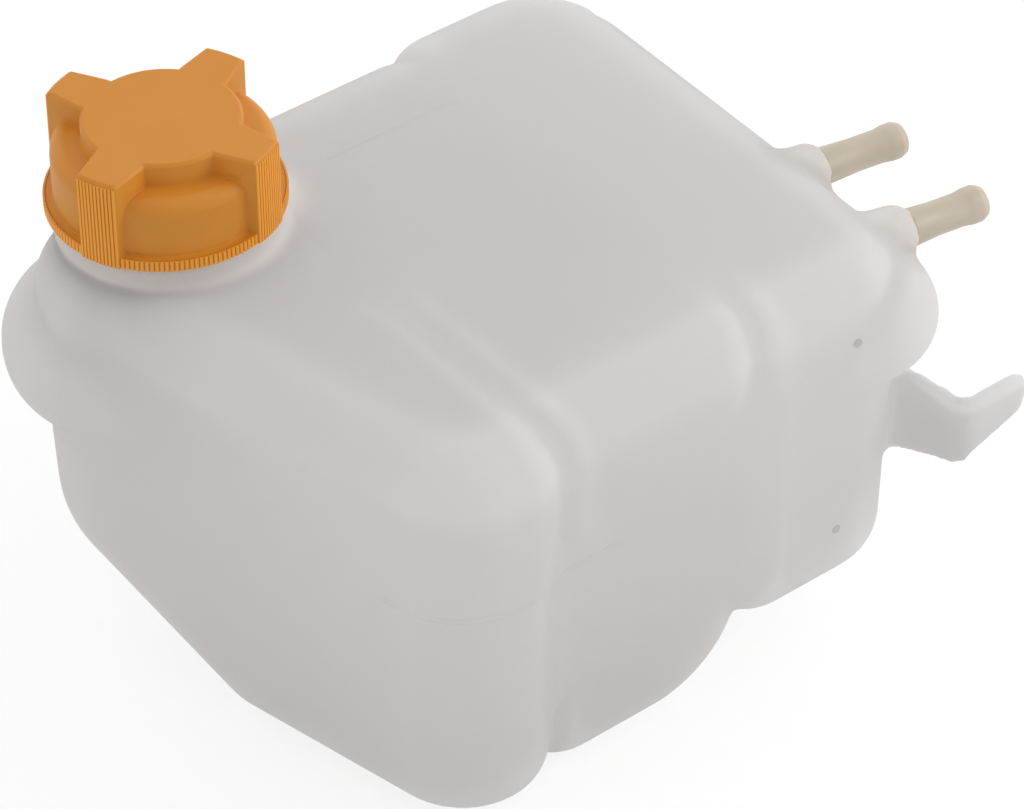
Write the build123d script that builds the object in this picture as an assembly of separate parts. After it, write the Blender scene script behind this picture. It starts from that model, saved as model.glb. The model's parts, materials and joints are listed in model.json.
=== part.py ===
from build123d import *
import os
from math import cos, hypot, radians, sin, sqrt, tan

# Coolant expansion tank with a screw cap that holds a pressure and a vacuum valve.
# Millimetres. The origin is on the foot, +Z is up, +X is the way the bleed hoses leave.

# Tank walls
WALL = 3.0
INNER_BEVEL = 0.8
TOP_Z = 128.5
FRONT_Y = -80.0
BACK_Y = 80.5

# Pinch grooves between the three lobes, and how far each lobe runs past its groove
GROOVE_LEFT_X = -16.5
GROOVE_RIGHT_X = 48.0
LOBE_LAP = 6.0

# Filler lobe, on the left under the cap
FILLER_LEFT_X = -73.5
FILLER_LEAN = 13.4
FILLER_DRAFT = 1.3
FILLER_FRONT_STEP = 3.0
FILLER_RISE_Y = 3.0
FILLER_RISE = 29.5
FILLER_BACK_R = 30.0
FILLER_FRONT_R = 26.0
FILLER_SEAM_R = 18.0
FILLER_TOP_R = 16.0
FILLER_LOW_R = 17.5

# Middle lobe, which carries most of the foot
MIDDLE_DRAFT = 2.2
MIDDLE_LOW_LEFT_R = 18.0
MIDDLE_LOW_RIGHT_R = 34.0
MIDDLE_TOP_R = 9.0
MIDDLE_EDGE_R = 15.0

# Hose lobe, on the right, with its floor above the foot
HOSE_FLOOR_Z = 15.5
HOSE_RIGHT_X = 107.5
HOSE_LEAN = 1.5
HOSE_DRAFT = 0.6
HOSE_BACK_STEP = 3.0
HOSE_BACK_R = 26.0
HOSE_FRONT_R = 20.0
HOSE_SEAM_R = 16.0
HOSE_TOP_R = 14.0
HOSE_LOW_R = 18.5

# Rounded belt round the back, which dies away on the two front walls
BELT_MID_Z = 95.0
BELT_TILT = 3.3
BELT_HEIGHT = 42.0
BELT_FLAT = 1.0
BELT_PROUD = 10.0
BELT_SINK = 2.5
BELT_LEFT_START_Y = 5.0
BELT_FRONT_START_X = 66.0
BELT_LEFT_R = 32.0
BELT_BACK_R = 30.0
BELT_FRONT_R = 18.0

# Filler neck
FILLER_X = -47.0
FILLER_Y = 50.0
NECK_BORE_R = 21.5
NECK_WALL = 3.5
NECK_SHOWING = 9.5
NECK_RISE = 13.5
NECK_LIP = 2.0
COLLAR_LEDGE = 5.0
COLLAR_CAP_GAP = 0.8
COLLAR_FOOT_R = 32.5
COLLAR_FOOT_RIGHT = 5.5
COLLAR_FOOT_FORWARD = 2.5
COLLAR_FOOT_RISE = 5.0

# Bleed hose spigots, set into bosses on the right wall
SPIGOT_DROP = 9.8
SPIGOT_YAW = -8.5
SPIGOT_REAR_Y = -28.5
SPIGOT_REAR_STAND = 5.8
SPIGOT_REAR_LENGTH = 26.4
SPIGOT_FRONT_Y = -63.0
SPIGOT_FRONT_STAND = 7.0
SPIGOT_FRONT_LENGTH = 24.2
SPIGOT_SOCKET = 7.0
SPIGOT_BORE_R = 2.2
SPIGOT_SHANK_R = 4.9
SPIGOT_LAND_R = 4.75
SPIGOT_LAND = 8.0
SPIGOT_TAPER = 0.55
SPIGOT_BEAD_PROUD = 0.45
SPIGOT_BEAD = 8.0
SPIGOT_BEAD_RISE = 3.0
SPIGOT_MOUTH_R = 2.6
SPIGOT_FIT = 0.05
BOSS_WALL = 2.6
BOSS_DRAFT = 4.0
BOSS_FACE = 0.35
BOSS_DEPTH = 20.0

# Return outlet at the foot of the back wall
OUTLET_X = 8.0
OUTLET_Z = 27.0
OUTLET_BORE_R = 7.4
OUTLET_WALL = 2.6
OUTLET_LENGTH = 26.0
OUTLET_BEAD_PROUD = 0.8
OUTLET_BEAD = 6.0
OUTLET_ROOT = 12.0

# Hook on the right front corner
HOOK_SINK = 2.0
HOOK_THICK = 3.5
HOOK_ROOT = 35.0
HOOK_REACH = 18.5
HOOK_ROOT_LOW_Z = 34.0
HOOK_ROOT_HIGH_Z = 77.0
HOOK_BEND_LOW_Z = 63.5
HOOK_BEND_HIGH_Z = 85.0
HOOK_BELLY = 3.0
HOOK_LIP = 24.0
HOOK_TIP_LOW_Z = 72.0
HOOK_TIP_R = 5.0
HOOK_BEND_R = 5.0

# Cap shell
CAP_THREAD_GAP = 1.9
CAP_DRUM_WALL = 2.6
CAP_DRUM_ROUND = 4.0
CAP_FLANGE_PROUD = 2.2
CAP_FLANGE = 3.1
CAP_WALL = 2.8
CAP_TOP = 3.0
CAP_HUB_RISE = 6.65
CAP_EDGE = 0.8
CAP_ARMS = 4
CAP_ARM_TURN = 23.0
CAP_ARM_PROUD = 0.4
CAP_ARM_ROOT_WIDTH = 14.5
CAP_ARM_TIP_WIDTH = 11.5
CAP_TILE_WALL = 2.6

# Valve housing in the neck, and its running gaps in the cap
HOUSING_WALL = 2.6
HOUSING_SLEEVE_WALL = 2.05
HOUSING_BARREL_GAP = 0.7
HOUSING_BARREL_LOW = 2.0
HOUSING_FLANGE = 2.85
HOUSING_FLANGE_LAP = 0.2
HOUSING_FOOT = 12.0
HOUSING_FLOOR = 2.8
HOUSING_TOP_GAP = 0.5
SEAT_LIP = 0.8
SEAT_LIP_WIDTH = 1.4
TURN_GAP = 0.35
SEAT_GAP = 0.3
SNAP_DEPTH = 1.0
SNAP_WIDTH = 1.6
SNAP_RISE = 2.35
VENTS = 4
VENT_R = 1.4
VENT_LEVEL = 10.3

# Seal between the housing and the neck
ORING_R = 1.3
ORING_SIDES = 8
ORING_LEVEL = 5.6
ORING_BORE_GAP = 0.25
ORING_GROOVE_GAP = 0.05
ORING_GROOVE = 3.3

# Spring cover
COVER_RISE = 0.85
COVER_THICK = 2.2
COVER_GROOVE = 0.5
COVER_FIT = 0.1
COVER_HOLE_R = 2.5
COVER_SPIGOT = 1.8
COVER_VENT_R = 1.5

# Pressure valve
PRESSURE_WIRE_R = 0.8
PRESSURE_COIL_R = 10.2
PRESSURE_TURNS = 6.0
SPRING_SIDE_GAP = 0.8
PLATE_THICK = 1.8
PLATE_GAP = 1.7
PLATE_RIM = 1.8
PLATE_RIM_WALL = 2.0
PLATE_PORTS = 4
PLATE_PORT_R = 0.9
SEAL_THICK = 1.6
SEAL_BORE_R = 4.2
SEAL_LAP = 1.9

# Vacuum valve
VACUUM_HEAD = 1.6
VACUUM_HEAD_LAP = 2.1
VACUUM_HEAD_GAP = 1.2
VACUUM_STEM_R = 1.6
VACUUM_STEM_GAP = 0.25
VACUUM_STEM_TIP = 1.0
VACUUM_GROOVE = 0.5
VACUUM_WIRE_R = 0.35
VACUUM_COIL_R = 4.9
VACUUM_TURNS = 5.0
VACUUM_SPRING = 7.6
CLIP_THICK = 0.8
CLIP_LAP = 0.55
CLIP_SLOT = 2.3
CLIP_FIT = 0.05

# How finely the springs are drawn
COIL_GAP = 0.05
COIL_LENGTHS = 12
WIRE_SIDES = 6

# Radii that follow from the sizes above, from the neck outwards and inwards
NECK_THREAD_R = NECK_BORE_R + NECK_WALL
COLLAR_R = NECK_THREAD_R + COLLAR_LEDGE
CAP_BORE_R = NECK_THREAD_R + CAP_THREAD_GAP
CAP_DRUM_R = CAP_BORE_R + CAP_DRUM_WALL
CAP_FLANGE_R = CAP_DRUM_R + CAP_FLANGE_PROUD
CAP_ARM_REACH = CAP_FLANGE_R + CAP_ARM_PROUD
BARREL_R = NECK_BORE_R - HOUSING_BARREL_GAP
GROOVE_FLOOR_R = NECK_BORE_R - ORING_BORE_GAP - 2 * ORING_R - ORING_GROOVE_GAP
UPPER_BORE_R = GROOVE_FLOOR_R - HOUSING_WALL
SLEEVE_R = UPPER_BORE_R + HOUSING_SLEEVE_WALL
HUB_BORE_R = SLEEVE_R + TURN_GAP
CAP_HUB_R = HUB_BORE_R + CAP_WALL
PLATE_RIM_R = PRESSURE_COIL_R - PRESSURE_WIRE_R - SPRING_SIDE_GAP
PLATE_R = PRESSURE_COIL_R + PRESSURE_WIRE_R + SPRING_SIDE_GAP
HOUSING_BORE_R = PLATE_R + PLATE_GAP
VACUUM_HEAD_R = SEAL_BORE_R + VACUUM_HEAD_LAP
SEAT_BORE_R = VACUUM_HEAD_R + VACUUM_HEAD_GAP
SEAT_LIP_R = SEAT_BORE_R + SEAT_LIP_WIDTH
SEAL_R = SEAT_LIP_R + SEAL_LAP
GUIDE_R = VACUUM_STEM_R + VACUUM_STEM_GAP
CLIP_R = VACUUM_COIL_R + VACUUM_WIRE_R + CLIP_LAP
CLIP_GROOVE_R = VACUUM_STEM_R - VACUUM_GROOVE
BOSS_R = SPIGOT_SHANK_R + SPIGOT_FIT + BOSS_WALL
OUTLET_R = OUTLET_BORE_R + OUTLET_WALL

# Levels that follow, first above the cap's foot and then above the tank's
CAP_ROOF = NECK_RISE + HOUSING_FLANGE + SEAT_GAP
CAP_DRUM_TOP = CAP_ROOF + CAP_WALL
CAP_HEIGHT = CAP_DRUM_TOP + CAP_HUB_RISE
CAP_HUB_ROOF = CAP_HEIGHT - CAP_TOP
SNAP_MID = CAP_ROOF + SNAP_RISE
CAP_Z = TOP_Z + NECK_SHOWING
NECK_TOP = CAP_Z + NECK_RISE
ROOF_Z = CAP_Z + CAP_ROOF
COVER_Z = ROOF_Z + COVER_RISE
HOUSING_Z = CAP_Z - HOUSING_FOOT
SEAT_Z = HOUSING_Z + HOUSING_FLOOR + SEAT_LIP
PLATE_Z = SEAT_Z + SEAL_THICK
PLATE_TOP = PLATE_Z + PLATE_THICK
CLIP_Z = PLATE_TOP + VACUUM_SPRING
CLIP_TOP = CLIP_Z + CLIP_THICK
SPIGOT_Z = TOP_Z - SPIGOT_DROP


def filler_wall_x(y):
    """The leaning left wall's x at the level of the top."""
    return FILLER_LEFT_X - tan(radians(FILLER_LEAN)) * y


def hose_wall_x(y):
    """The right wall's x at the level of the top."""
    return HOSE_RIGHT_X + tan(radians(HOSE_LEAN)) * y


def block(points, low, high):
    """A prism on a plan outline, between two levels."""
    return Pos(0, 0, low) * extrude(make_face(Polyline(*points, close=True)), amount=high - low)


def drafted(solid, angle, level):
    """Lean the upright walls in towards the floor, from the given level down."""
    walls = solid.faces().filter_by(lambda face: abs(face.normal_at().Z) < 0.02)
    return draft(walls, Plane.XY.offset(level), -angle)


def upright_edge(solid, x, y, reach):
    """The upright edge nearest a plan corner, among edges that rise by at least reach."""
    edges = solid.edges().filter_by(lambda edge: abs((edge @ 1).Z - (edge @ 0).Z) > reach)
    return min(edges, key=lambda edge: hypot(edge.center().X - x, edge.center().Y - y))


def floor_edges(solid):
    """Every edge round the flat and rising floors."""
    floors = solid.faces().filter_by(GeomType.PLANE).filter_by(lambda face: face.normal_at().Z < -0.5)
    edges = []
    for edge in floors.edges():
        if not any(edge.is_same(kept) for kept in edges):
            edges.append(edge)
    return edges


def planed(solid, edges, radius):
    """Plane edges off a solid with flat faces, about as far as a rounding of that radius would take them."""
    cuts = []
    for edge in edges:
        middle = edge.center()
        beside = [face for face in solid.faces() if any(edge.is_same(side) for side in face.edges())]
        first, second = (face.normal_at(middle) for face in beside)
        alike = first.dot(second)
        depth = INNER_BEVEL * radius * (1 - alike) / sqrt(2 * (1 + alike))
        facing = (first + second).normalized()
        cuts.append(Plane(origin=middle - facing * depth, z_dir=facing))
    for cut in cuts:
        solid = split(solid, bisect_by=cut, keep=Keep.BOTTOM)
    return solid


def eased(solid, edges, radius, inset):
    """Round edges outside the tank, or plane them flat inside it, where the wall is a little thicker."""
    if inset:
        return planed(solid, edges, radius - inset)
    return fillet(edges, radius)


def eased_corner(corners, radius, inset):
    """The same for the corners of a flat profile."""
    if inset:
        return chamfer(corners, INNER_BEVEL * (radius - inset))
    return fillet(corners, radius)


def rounded(solid, corners, top_r, low_r, inset):
    """Round the upright corners, then ease the loop round the top and the loop round the floor."""
    for x, y, radius in corners:
        solid = eased(solid, [upright_edge(solid, x, y, TOP_Z / 3)], radius, inset)
    solid = eased(solid, solid.faces().sort_by(Axis.Z)[-1].edges(), top_r, inset)
    return eased(solid, floor_edges(solid), low_r, inset)


def filler_lobe(inset):
    """The lobe under the cap, or its hollow when inset by the wall."""
    front = FRONT_Y - FILLER_FRONT_STEP + inset
    back = BACK_Y - inset
    seam = GROOVE_LEFT_X + LOBE_LAP - inset
    lean_inset = inset / cos(radians(FILLER_LEAN))
    left_back = filler_wall_x(back) + lean_inset
    left_front = filler_wall_x(front) + lean_inset
    high = TOP_Z - inset
    outline = [(left_back, back), (seam, back), (seam, front), (left_front, front)]
    solid = block(outline, inset, high)
    rise_to = inset + tan(radians(FILLER_RISE)) * (BACK_Y - FILLER_RISE_Y)
    ramp = Polyline((FILLER_RISE_Y, inset), (BACK_Y, rise_to), (BACK_Y, 0), (FILLER_RISE_Y, 0), close=True)
    solid = solid - extrude(Plane.YZ * make_face(ramp), amount=2 * HOSE_RIGHT_X, both=True)
    solid = drafted(solid, FILLER_DRAFT, high)
    corners = [
        (left_back, back, FILLER_BACK_R),
        (left_front, front, FILLER_FRONT_R),
        (seam, back, FILLER_SEAM_R),
        (seam, front, FILLER_SEAM_R),
    ]
    return rounded(solid, corners, FILLER_TOP_R, FILLER_LOW_R, inset)


def middle_lobe(inset):
    """The lobe between the grooves, or its hollow when inset by the wall."""
    left = GROOVE_LEFT_X - LOBE_LAP + inset
    right = GROOVE_RIGHT_X + LOBE_LAP - inset
    high = TOP_Z - inset
    profile = make_face(Polyline((left, inset), (right, inset), (right, high), (left, high), close=True))
    low_left = profile.vertices().group_by(Axis.Y)[0].sort_by(Axis.X)[0]
    profile = eased_corner(low_left, MIDDLE_LOW_LEFT_R, inset)
    low_right = profile.vertices().group_by(Axis.Y)[0].sort_by(Axis.X)[-1]
    profile = eased_corner(low_right, MIDDLE_LOW_RIGHT_R, inset)
    profile = eased_corner(profile.vertices().group_by(Axis.Y)[-1], MIDDLE_TOP_R, inset)
    depth = BACK_Y - FRONT_Y - 2 * inset
    solid = Pos(0, BACK_Y - inset, 0) * extrude(Plane.XZ * profile, amount=depth)
    ends = solid.faces().filter_by(Axis.Y)
    solid = draft(ends, Plane.XY.offset(high), -MIDDLE_DRAFT)
    ends = solid.faces().sort_by(Axis.Y)
    return eased(solid, ends[0].edges() + ends[-1].edges(), MIDDLE_EDGE_R, inset)


def hose_lobe(inset):
    """The lobe that carries the bleed spigots, or its hollow when inset by the wall."""
    front = FRONT_Y + inset
    back = BACK_Y + HOSE_BACK_STEP - inset
    seam = GROOVE_RIGHT_X - LOBE_LAP + inset
    right_front = hose_wall_x(front) - inset
    right_back = hose_wall_x(back) - inset
    high = TOP_Z - inset
    outline = [(seam, front), (right_front, front), (right_back, back), (seam, back)]
    solid = drafted(block(outline, HOSE_FLOOR_Z + inset, high), HOSE_DRAFT, high)
    corners = [
        (right_back, back, HOSE_BACK_R),
        (right_front, front, HOSE_FRONT_R),
        (seam, back, HOSE_SEAM_R),
        (seam, front, HOSE_SEAM_R),
    ]
    return rounded(solid, corners, HOSE_TOP_R, HOSE_LOW_R, inset)


def belt(inset):
    """The full-round belt, or its hollow when inset by the wall."""
    proud = BELT_PROUD - inset
    back = BACK_Y + proud
    front = FRONT_Y - proud
    lean_proud = proud / cos(radians(FILLER_LEAN))
    left_start = (filler_wall_x(BELT_LEFT_START_Y) + BELT_SINK + inset, BELT_LEFT_START_Y)
    left_back = (filler_wall_x(back) - lean_proud, back)
    right_back = (hose_wall_x(back) + proud, back)
    right_front = (hose_wall_x(front) + proud, front)
    front_start = (BELT_FRONT_START_X, FRONT_Y + BELT_SINK + inset)
    low = BELT_MID_Z - BELT_HEIGHT / 2 + inset
    high = BELT_MID_Z + BELT_HEIGHT / 2 - inset
    solid = block([left_start, left_back, right_back, right_front, front_start], low, high)
    corners = ((left_back, BELT_LEFT_R), (right_back, BELT_BACK_R), (right_front, BELT_FRONT_R))
    for (x, y), radius in corners:
        solid = eased(solid, [upright_edge(solid, x, y, BELT_HEIGHT / 3)], radius, inset)
    faces = solid.faces().sort_by(Axis.Z)
    middle_x = (left_start[0] + front_start[0]) / 2
    middle_y = (left_start[1] + front_start[1]) / 2
    rims = []
    for face in (faces[0], faces[-1]):
        edges = list(face.edges())
        inner = min(edges, key=lambda edge: hypot(edge.center().X - middle_x, edge.center().Y - middle_y))
        rims += [edge for edge in edges if edge is not inner]
    solid = eased(solid, rims, (BELT_HEIGHT - BELT_FLAT) / 2, inset)
    return Pos(0, 0, BELT_MID_Z) * (Rot(0, -BELT_TILT, 0) * (Pos(0, 0, -BELT_MID_Z) * solid))


def turned(points, x=0.0, y=0.0):
    """A solid of revolution about an upright axis, from radius and level pairs."""
    section = make_face(Polyline(*points, close=True))
    return Pos(x, y, 0) * revolve(Plane.XZ * section, Axis.Z)


def on_filler(points):
    """A solid of revolution about the filler axis."""
    return turned(points, FILLER_X, FILLER_Y)


SPIGOTS = {
    "bleed_spigot_rear": (SPIGOT_REAR_Y, SPIGOT_REAR_STAND, SPIGOT_REAR_LENGTH),
    "bleed_spigot_front": (SPIGOT_FRONT_Y, SPIGOT_FRONT_STAND, SPIGOT_FRONT_LENGTH),
}


def spigot_plane(y, stand):
    """The plane of a boss's end face, which stands off the right wall, with its normal along the hose."""
    yaw = radians(SPIGOT_YAW)
    across = (-sin(yaw), cos(yaw), 0)
    along = (cos(yaw), sin(yaw), 0)
    return Plane(origin=(hose_wall_x(y) + stand, y, SPIGOT_Z), x_dir=across, z_dir=along)


def boss(y, stand):
    """A tapering boss with a bevelled end on the right wall."""
    root_r = BOSS_R + BOSS_DEPTH * tan(radians(BOSS_DRAFT))
    solid = Pos(0, 0, -BOSS_DEPTH / 2) * Cone(root_r, BOSS_R, BOSS_DEPTH)
    solid = chamfer(solid.edges().sort_by(Axis.Z)[-1], BOSS_WALL - BOSS_FACE)
    return spigot_plane(y, stand) * solid


def boss_hole(y, stand):
    """The socket for a spigot's shank, and the way on into the tank."""
    socket = Pos(0, 0, -SPIGOT_SOCKET / 2) * Cylinder(SPIGOT_SHANK_R + SPIGOT_FIT, SPIGOT_SOCKET)
    way_in = Pos(0, 0, -BOSS_DEPTH / 2) * Cylinder(SPIGOT_BORE_R, BOSS_DEPTH)
    return spigot_plane(y, stand) * (socket + way_in)


def bleed_spigot(y, stand, length):
    """A hose spigot: shank, tapered root, straight land, bead and a mouth bevelled in two steps."""
    shank = SPIGOT_FIT - SPIGOT_SOCKET
    bead_start = length - SPIGOT_BEAD
    bead_r = SPIGOT_LAND_R + SPIGOT_BEAD_PROUD
    half_turn = SPIGOT_MOUTH_R * (1 - cos(radians(45)))
    points = [
        (SPIGOT_BORE_R, shank),
        (SPIGOT_SHANK_R, shank),
        (SPIGOT_SHANK_R, 0),
        (SPIGOT_LAND_R + SPIGOT_TAPER, 0),
        (SPIGOT_LAND_R, bead_start - SPIGOT_LAND),
        (SPIGOT_LAND_R, bead_start),
        (bead_r, bead_start + SPIGOT_BEAD_RISE),
        (bead_r, length - SPIGOT_MOUTH_R),
        (bead_r - half_turn, length - half_turn),
        (bead_r - SPIGOT_MOUTH_R, length),
        (SPIGOT_BORE_R, length),
    ]
    return spigot_plane(y, stand) * turned(points)


def outlet():
    """The return hose outlet, straight out of the back wall."""
    reach = OUTLET_LENGTH + OUTLET_ROOT
    bead_start = reach - OUTLET_BEAD
    points = [
        (0, 0),
        (OUTLET_R, 0),
        (OUTLET_R, bead_start),
        (OUTLET_R + OUTLET_BEAD_PROUD, bead_start + OUTLET_BEAD / 4),
        (OUTLET_R + OUTLET_BEAD_PROUD, bead_start + OUTLET_BEAD / 2),
        (OUTLET_R, reach),
        (0, reach),
    ]
    return outlet_plane() * turned(points)


def outlet_plane():
    """The plane inside the back wall that the outlet starts from, with its normal along the hose."""
    return Plane(origin=(OUTLET_X, BACK_Y - OUTLET_ROOT, OUTLET_Z), x_dir=(1, 0, 0), z_dir=(0, 1, 0))


def outlet_bore():
    """The outlet's bore, through the wall."""
    reach = OUTLET_LENGTH + OUTLET_ROOT
    return outlet_plane() * (Pos(0, 0, reach / 2) * Cylinder(OUTLET_BORE_R, reach))


def hook():
    """The moulded hook: a deep arm along the right wall, then a lip that turns outwards."""
    inner_x = hose_wall_x(FRONT_Y) - HOOK_SINK
    root_y = FRONT_Y + HOOK_ROOT
    bend_y = FRONT_Y - HOOK_REACH
    with BuildSketch(Plane.YZ) as arm:
        with BuildLine():
            Polyline(
                (bend_y, HOOK_BEND_LOW_Z),
                (bend_y, HOOK_BEND_HIGH_Z),
                (root_y, HOOK_ROOT_HIGH_Z),
                (root_y, HOOK_ROOT_LOW_Z),
            )
            SagittaArc((root_y, HOOK_ROOT_LOW_Z), (bend_y, HOOK_BEND_LOW_Z), -HOOK_BELLY)
        make_face()
    tip_x = inner_x + HOOK_LIP
    outline = Polyline(
        (inner_x, HOOK_BEND_LOW_Z),
        (tip_x, HOOK_TIP_LOW_Z),
        (tip_x, HOOK_BEND_HIGH_Z),
        (inner_x, HOOK_BEND_HIGH_Z),
        close=True,
    )
    face = make_face(outline)
    face = fillet(face.vertices().group_by(Axis.X)[-1], HOOK_TIP_R)
    lip = Pos(0, bend_y + HOOK_THICK, 0) * extrude(Plane.XZ * face, amount=HOOK_THICK)
    solid = Pos(inner_x, 0, 0) * extrude(arm.sketch, amount=HOOK_THICK) + lip
    corner = upright_edge(solid, inner_x, bend_y, HOOK_TIP_R)
    return solid.fillet(HOOK_BEND_R, [corner])


def neck():
    """The collar and the threaded neck, solid."""
    foot = TOP_Z - FILLER_TOP_R
    shoulder = CAP_Z - COLLAR_CAP_GAP
    return on_filler([
        (0, foot),
        (COLLAR_R, foot),
        (COLLAR_R, shoulder),
        (NECK_THREAD_R, shoulder),
        (NECK_THREAD_R, NECK_TOP),
        (0, NECK_TOP),
    ])


def collar_foot():
    """The sloping foot of the collar, which spreads towards the middle of the tank."""
    low_x = FILLER_X + COLLAR_FOOT_RIGHT
    low_y = FILLER_Y - COLLAR_FOOT_FORWARD
    low = Pos(low_x, low_y, TOP_Z - WALL / 2) * Circle(COLLAR_FOOT_R)
    high = Pos(FILLER_X, FILLER_Y, TOP_Z + COLLAR_FOOT_RISE) * Circle(COLLAR_R - WALL / 2)
    return loft([low, high])


def neck_bore():
    """The neck's bore, wider below inside the collar."""
    foot = TOP_Z - FILLER_TOP_R
    ceiling = CAP_Z - COLLAR_CAP_GAP - WALL
    wide_r = COLLAR_R - WALL
    return on_filler([
        (0, foot),
        (wide_r, foot),
        (wide_r, ceiling),
        (NECK_BORE_R, ceiling + NECK_LIP),
        (NECK_BORE_R, NECK_TOP),
        (0, NECK_TOP),
    ])


def tank_body():
    """The moulded tank: three lobes and a belt, hollowed, with neck, bosses, outlet and hook."""
    outside = filler_lobe(0) + middle_lobe(0) + hose_lobe(0) + belt(0)
    outside = outside + neck() + collar_foot() + outlet() + hook()
    for y, stand, _ in SPIGOTS.values():
        outside = outside + boss(y, stand)
    hollow = filler_lobe(WALL) + middle_lobe(WALL) + hose_lobe(WALL) + belt(WALL)
    body = outside - hollow - neck_bore() - outlet_bore()
    for y, stand, _ in SPIGOTS.values():
        body = body - boss_hole(y, stand)
    return body


def cap_arm(reach, root_width, tip_width, low, high):
    """One grip arm, tapering in plan from the hub to its curved outer end."""
    outline = [
        (0, -root_width / 2),
        (CAP_HUB_R, -root_width / 2),
        (reach, -tip_width / 2),
        (reach, tip_width / 2),
        (CAP_HUB_R, root_width / 2),
        (0, root_width / 2),
    ]
    return block(outline, low, high) & Cylinder(reach, 2 * CAP_HEIGHT)


def cap_shell():
    """The screw cap: hub, drum, flange and arms, hollow underneath with a groove for the housing."""
    with BuildSketch(Plane.XZ) as section:
        with BuildLine():
            shoulder = CAP_DRUM_R - CAP_DRUM_ROUND
            wall_top = CAP_DRUM_TOP - CAP_DRUM_ROUND
            Polyline(
                (0, 0),
                (CAP_FLANGE_R, 0),
                (CAP_FLANGE_R, CAP_FLANGE),
                (CAP_DRUM_R, CAP_FLANGE),
                (CAP_DRUM_R, wall_top),
            )
            RadiusArc((CAP_DRUM_R, wall_top), (shoulder, CAP_DRUM_TOP), -CAP_DRUM_ROUND)
            Polyline(
                (shoulder, CAP_DRUM_TOP),
                (CAP_HUB_R, CAP_DRUM_TOP),
                (CAP_HUB_R, CAP_HEIGHT - CAP_EDGE),
            )
            Polyline(
                (CAP_HUB_R, CAP_HEIGHT - CAP_EDGE),
                (CAP_HUB_R - CAP_EDGE, CAP_HEIGHT),
                (0, CAP_HEIGHT),
                (0, 0),
            )
        make_face()
    shell = revolve(section.sketch, Axis.Z)
    groove_low = SNAP_MID - SNAP_WIDTH / 2 - SEAT_GAP
    groove_high = SNAP_MID + SNAP_WIDTH / 2 + SEAT_GAP
    hollow = turned([
        (0, 0),
        (CAP_BORE_R, 0),
        (CAP_BORE_R, CAP_ROOF),
        (HUB_BORE_R, CAP_ROOF),
        (HUB_BORE_R, groove_low),
        (HUB_BORE_R + SNAP_DEPTH, groove_low),
        (HUB_BORE_R + SNAP_DEPTH, groove_high),
        (HUB_BORE_R, groove_high),
        (HUB_BORE_R, CAP_HUB_ROOF),
        (0, CAP_HUB_ROOF),
    ])
    for index in range(CAP_ARMS):
        turn = Rot(0, 0, CAP_ARM_TURN + 360 / CAP_ARMS * index)
        arm = cap_arm(CAP_ARM_REACH, CAP_ARM_ROOT_WIDTH, CAP_ARM_TIP_WIDTH, 0, CAP_HEIGHT)
        rim = arm.faces().sort_by(Axis.Z)[-1].edges().sort_by(Axis.X)[1:]
        shell = shell + turn * chamfer(rim, CAP_EDGE)
        core = cap_arm(
            CAP_ARM_REACH - CAP_TILE_WALL,
            CAP_ARM_ROOT_WIDTH - 2 * CAP_TILE_WALL,
            CAP_ARM_TIP_WIDTH - 2 * CAP_TILE_WALL,
            CAP_ROOF,
            CAP_HUB_ROOF,
        )
        hollow = hollow + turn * core
    return Pos(FILLER_X, FILLER_Y, CAP_Z) * (shell - hollow)


def valve_housing():
    """The insert in the neck: flange, seal groove, valve seat, vents and the bead that holds the cap."""
    floor = HOUSING_Z + HOUSING_FLOOR
    waist = CAP_Z + HOUSING_BARREL_LOW
    flange_r = NECK_THREAD_R + HOUSING_FLANGE_LAP
    flange_top = NECK_TOP + HOUSING_FLANGE
    groove_low = CAP_Z + ORING_LEVEL - ORING_GROOVE / 2
    groove_high = CAP_Z + ORING_LEVEL + ORING_GROOVE / 2
    bead_low = CAP_Z + SNAP_MID - SNAP_WIDTH / 2
    bead_high = CAP_Z + SNAP_MID + SNAP_WIDTH / 2
    top = CAP_Z + CAP_HUB_ROOF - HOUSING_TOP_GAP
    stem_r = HOUSING_BORE_R + HOUSING_WALL
    cover_low = COVER_Z - COVER_FIT
    cover_high = COVER_Z + COVER_THICK + COVER_FIT
    cover_r = UPPER_BORE_R + COVER_GROOVE
    housing = on_filler([
        (SEAT_BORE_R, HOUSING_Z),
        (stem_r, HOUSING_Z),
        (stem_r, waist),
        (BARREL_R, waist),
        (BARREL_R, groove_low),
        (GROOVE_FLOOR_R, groove_low),
        (GROOVE_FLOOR_R, groove_high),
        (BARREL_R, groove_high),
        (BARREL_R, NECK_TOP),
        (flange_r, NECK_TOP),
        (flange_r, flange_top),
        (SLEEVE_R, flange_top),
        (SLEEVE_R, bead_low),
        (SLEEVE_R + SNAP_DEPTH, bead_low),
        (SLEEVE_R, bead_high),
        (SLEEVE_R, top),
        (UPPER_BORE_R, top),
        (UPPER_BORE_R, cover_high),
        (cover_r, cover_high),
        (cover_r, cover_low),
        (UPPER_BORE_R, cover_low),
        (UPPER_BORE_R, waist + HOUSING_WALL),
        (HOUSING_BORE_R, waist + HOUSING_WALL),
        (HOUSING_BORE_R, floor),
        (SEAT_LIP_R, floor),
        (SEAT_LIP_R, SEAT_Z),
        (SEAT_BORE_R, SEAT_Z),
    ])
    vent = Pos(BARREL_R, 0, VENT_LEVEL) * (Rot(0, 90, 0) * Cylinder(VENT_R, 4 * HOUSING_WALL))
    return housing - round_filler(vent, VENTS, CAP_Z)


def round_filler(tool, count, level):
    """Copies of a cutter spaced evenly round the filler axis."""
    copies = [Rot(0, 0, 360 / count * index) * tool for index in range(count)]
    return [Pos(FILLER_X, FILLER_Y, level) * copy for copy in copies]


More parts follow.
